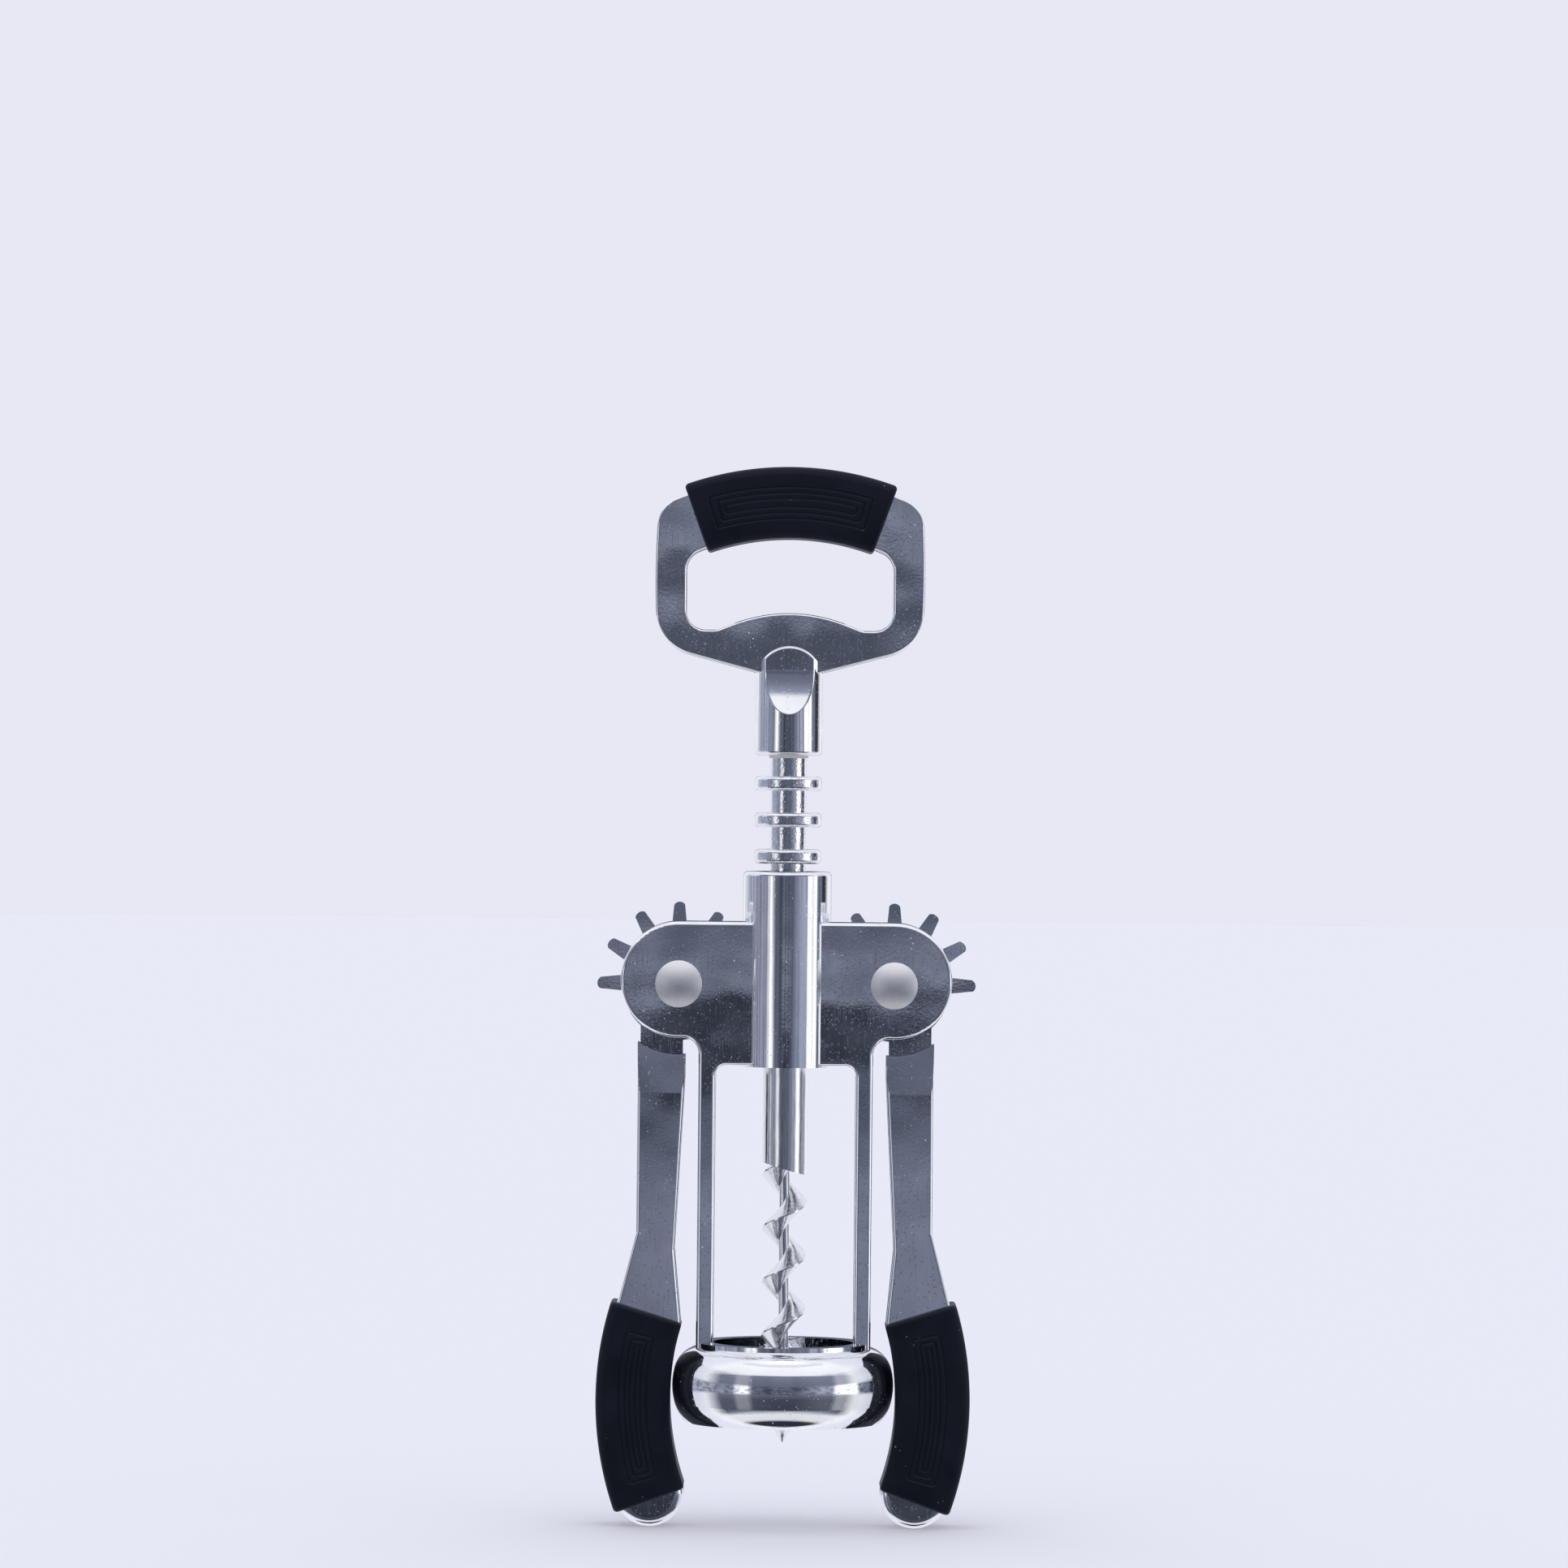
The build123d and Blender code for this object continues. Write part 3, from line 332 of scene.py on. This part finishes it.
def make_grip(node, body, centre, radii, angles, thickness, loops, side):
    """A rubber sleeve that follows an arc, with nested grooves round a panel on its front and back."""
    inner, outer = radii
    middle, width = (inner + outer) / 2, outer - inner
    start, stop = radians(angles[0]), radians(angles[1])
    length = abs(stop - start) * middle
    ends = GRIP_END * (1 - np.cos(np.linspace(0, pi / 2, 7)[:-1]))
    between = np.linspace(GRIP_END, length - GRIP_END, int(length / GRID))
    stations = np.concatenate((ends, between, length - ends[::-1]))
    outline = section_outline(width, thickness)
    rings = []
    for station in stations:
        to_end = min(station, length - station)
        inset = GRIP_END - (GRIP_END**2 - max(GRIP_END - to_end, 0) ** 2) ** 0.5
        across = outline[:, 0] * (1 - 2 * inset / width)
        through = outline[:, 1] * (1 - 2 * inset / thickness)
        along = np.full_like(across, station - length / 2)
        on_face = np.abs(outline[:, 2])
        sink = groove_depth(along, across, loops) + FACE_CROWN * (2 * across / width) ** 2
        through = through - np.sign(through) * on_face * np.minimum(sink, GROOVE_DEPTH + FACE_CROWN)
        near_face = np.clip((np.abs(through) - thickness / 2 + GRIP_EDGE) / GRIP_EDGE, 0, 1)
        through = through - np.sign(through) * (1 - on_face) * FACE_CROWN * near_face
        angle = start + (stop - start) * station / length
        radius = middle + across
        rings.append(np.stack((
            side * (centre[0] + radius * cos(angle)), through, centre[1] + radius * sin(angle)), axis=1))
    count = len(outline)
    corners = np.concatenate(rings) * MM
    faces = []
    for row in range(len(rings) - 1):
        for col in range(count):
            beside = (col + 1) % count
            here, above = row * count, (row + 1) * count
            faces.append((here + col, here + beside, above + beside, above + col))
    faces.append(tuple(range(count)))
    faces.append(tuple(range((len(rings) - 1) * count, len(rings) * count)))
    mesh = bpy.data.meshes.new(f"{node}_rubber")
    mesh.from_pydata(corners.tolist(), [], faces)
    build = bmesh.new()
    build.from_mesh(mesh)
    bmesh.ops.recalc_face_normals(build, faces=build.faces)
    build.to_mesh(mesh)
    build.free()
    for polygon in mesh.polygons:
        polygon.use_smooth = len(polygon.vertices) == 4
    mesh.materials.append(rubber)
    grip = bpy.data.objects.new(f"{node}_rubber", mesh)
    scene.collection.objects.link(grip)
    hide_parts(node)
    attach(grip, body)


# Half length and half width of each nested groove, mm
LEVER_LOOPS = ((13.2, 2.45), (12.15, 1.4), (11.1, 0.5))
HEAD_LOOPS = ((14.2, 2.85), (13.05, 1.8), (11.9, 0.75))
for lever_side, mirror_sign in (("left", 1), ("right", -1)):
    make_grip(f"lever_grip_{lever_side}", f"lever_{lever_side}", (26.25, 4.2), (46.6, 60.0), (162.8, 200.0),
              GRIP_THICKNESS, LEVER_LOOPS, mirror_sign)
make_grip("head_grip", "spindle", (0.0, 116.2), (43.5, 56.38), (70.0, 110.0), GRIP_THICKNESS, HEAD_LOOPS, 1)

# ---------------------------------------------------------------- stage
floor_z = cad_box[0][2]


def make_floor():
    """A plain pale disc that the lever tips stand on."""
    mesh = bpy.data.meshes.new("floor")
    build = bmesh.new()
    bmesh.ops.create_circle(build, cap_ends=True, radius=6.0, segments=96)
    build.to_mesh(mesh)
    build.free()
    floor = bpy.data.objects.new("floor", mesh)
    floor.location.z = floor_z
    scene.collection.objects.link(floor)
    material, tree, shader = new_material("pale_floor")
    shader.inputs["Base Color"].default_value = (0.8, 0.8, 0.86, 1)
    shader.inputs["Roughness"].default_value = 0.8
    shader.inputs["Specular IOR Level"].default_value = 0.1
    shader.inputs["Emission Color"].default_value = (0.78, 0.785, 0.88, 1)
    shader.inputs["Emission Strength"].default_value = 0.125
    mesh.materials.append(material)
    floor.visible_glossy = False  # the chrome reflects the studio, not the floor's far edge


make_floor()

# ---------------------------------------------------------------- light
# The studio is built round the front axis. In front it changes with elevation, from a bright table below,
# through a dim room, to a soft box above. Round the sides, near level, it changes with the azimuth.
FRONT = (  # elevation in degrees, brightness
    (-90, 0.03), (-68, 0.035), (-61, 0.85), (-45, 0.9), (-38, 0.22), (-33, 0.06), (-15, 0.07), (-7, 0.16),
    (6, 0.16), (15, 0.2), (26, 0.35), (32, 1.0), (58, 1.1), (64, 0.8), (90, 1.6),
)
LEVEL = (  # the same close to level, where the flat faces look: a finer run of stops
    (-6, 0.03), (-5.2, 0.035), (-4.8, 0.2), (-3.4, 0.23), (-2.8, 0.12), (-2.25, 0.055), (-2.05, 0.018),
    (-1.8, 0.022), (-1.68, 0.08), (-1.5, 0.26), (-1.2, 0.16), (-0.9, 0.09), (-0.4, 0.13), (0, 0.06),
    (0.45, 0.14), (0.8, 0.05), (1.2, 0.09), (1.6, 0.17), (1.9, 0.32), (2.3, 0.2), (3, 0.12), (6, 0.16),
)
AROUND = (  # azimuth from the front towards +X in degrees, brightness
    (-180, 0.9), (-128, 0.9), (-118, 0.4), (-70, 0.3), (-54, 0.26), (-49, 1.1), (-38, 1.1), (-32, 0.16),
    (-14, 0.08), (10, 0.06), (22, 0.16), (40, 0.34), (54, 0.34), (60, 1.5), (82, 1.5), (88, 0.24),
    (102, 0.14), (107, 0.03), (119, 0.04), (127, 0.9), (180, 0.9),
)
PAPER = (0.9, 0.91, 1.0)


def smooth_band(tree, value, low, high, soft):
    """1 while a value is between low and high, fading to 0 over a soft width outside them."""
    rise = remap(tree, value, low - soft, low, 0, 1)
    fall = remap(tree, value, high, high + soft, 1, 0)
    return math(tree, "MULTIPLY", rise, fall)


def make_studio():
    """The world: what the chrome reflects, and a plain pale backdrop for the camera."""
    world = bpy.data.worlds.new("studio")
    scene.world = world
    world.use_nodes = True
    tree = world.node_tree
    tree.nodes.clear()
    output = tree.nodes.new("ShaderNodeOutputWorld")
    direction = tree.nodes.new("ShaderNodeTexCoord").outputs["Generated"]
    split = tree.nodes.new("ShaderNodeSeparateXYZ")
    tree.links.new(direction, split.inputs[0])
    east, north, up = split.outputs["X"], split.outputs["Y"], split.outputs["Z"]
    azimuth = math(tree, "ARCTAN2", east, math(tree, "MULTIPLY", north, -1.0))
    elevation = math(tree, "ARCSINE", up, 0.0)
    near_level = smooth_band(tree, elevation, radians(-5.9), radians(5.5), radians(0.1))
    front = mix_colour(tree, near_level, ramp(tree, elevation, FRONT), ramp(tree, elevation, LEVEL))
    sides = remap(tree, math(tree, "ABSOLUTE", azimuth, 0.0), radians(70), radians(90), 0, 1)
    front = mix_colour(tree, sides, front, (1.1, 1.1, 1.13))
    behind = math(tree, "ARCCOSINE", math(tree, "MAXIMUM", north, 0.0), 0.0)
    paper = mix_colour(tree, remap(tree, behind, radians(8), radians(16), 0, 1), (0.13, 0.15, 0.21), PAPER)
    studio = mix_colour(tree, remap(tree, north, -0.1, 0.2, 0, 1), front, paper)
    level = smooth_band(tree, elevation, radians(-5), radians(5), radians(4))
    faded = smooth_band(tree, elevation, radians(-25), radians(25), radians(10))
    faded = math(tree, "MULTIPLY", faded, 0.2)
    level = math(tree, "MAXIMUM", level, faded)
    aside = math(tree, "SUBTRACT", 1.0, smooth_band(tree, azimuth, radians(-6), radians(6), radians(10)))
    not_behind = smooth_band(tree, azimuth, radians(-140), radians(140), radians(20))
    beside = math(tree, "MULTIPLY", aside, not_behind)
    studio = mix_colour(tree, math(tree, "MULTIPLY", level, beside), studio, ramp(tree, azimuth, AROUND))
    clouds = noise(tree, stretched(tree, direction, (9, 9, 14)), 1.0, 2, 0.5)
    dim = mix_colour(tree, remap(tree, clouds, 0.35, 0.65, 0, 1), (0.6, 0.6, 0.6), (1.4, 1.4, 1.4))
    dim = mix_colour(tree, near_level, (1.0, 1.0, 1.0), dim)
    shade = tree.nodes.new("ShaderNodeMix")
    shade.data_type = "RGBA"
    shade.blend_type = "MULTIPLY"
    shade.inputs["Factor"].default_value = 1.0
    tree.links.new(studio, shade.inputs[6])
    tree.links.new(dim, shade.inputs[7])
    studio = shade.outputs[2]
    lit = tree.nodes.new("ShaderNodeBackground")
    tree.links.new(studio, lit.inputs["Color"])
    seen = tree.nodes.new("ShaderNodeBackground")
    seen.inputs["Color"].default_value = (0.8, 0.805, 0.9, 1)
    blend = tree.nodes.new("ShaderNodeMixShader")
    tree.links.new(tree.nodes.new("ShaderNodeLightPath").outputs["Is Camera Ray"], blend.inputs["Fac"])
    tree.links.new(lit.outputs[0], blend.inputs[1])
    tree.links.new(seen.outputs[0], blend.inputs[2])
    tree.links.new(blend.outputs[0], output.inputs["Surface"])


make_studio()
scene.view_settings.view_transform = "Standard"

# ---------------------------------------------------------------- camera
VIEW_WIDTH = 0.2837  # of the picture, at the object
CAMERA_DISTANCE = 1.35
CAMERA_AIM = Vector((-0.0008, 0, 0.1154))
CAMERA_ROLL = radians(0.55)


def make_camera():
    """The camera looks straight at the front, from far away."""
    data = bpy.data.cameras.new("camera")
    camera = bpy.data.objects.new("camera", data)
    scene.collection.objects.link(camera)
    data.sensor_width = 36
    data.lens = data.sensor_width * CAMERA_DISTANCE / VIEW_WIDTH
    camera.location = CAMERA_AIM - Vector((0, CAMERA_DISTANCE, 0))
    facing = Matrix.Rotation(radians(90), 3, "X") @ Matrix.Rotation(CAMERA_ROLL, 3, "Z")
    camera.rotation_euler = facing.to_euler()
    data.clip_end = 20
    scene.camera = camera


make_camera()
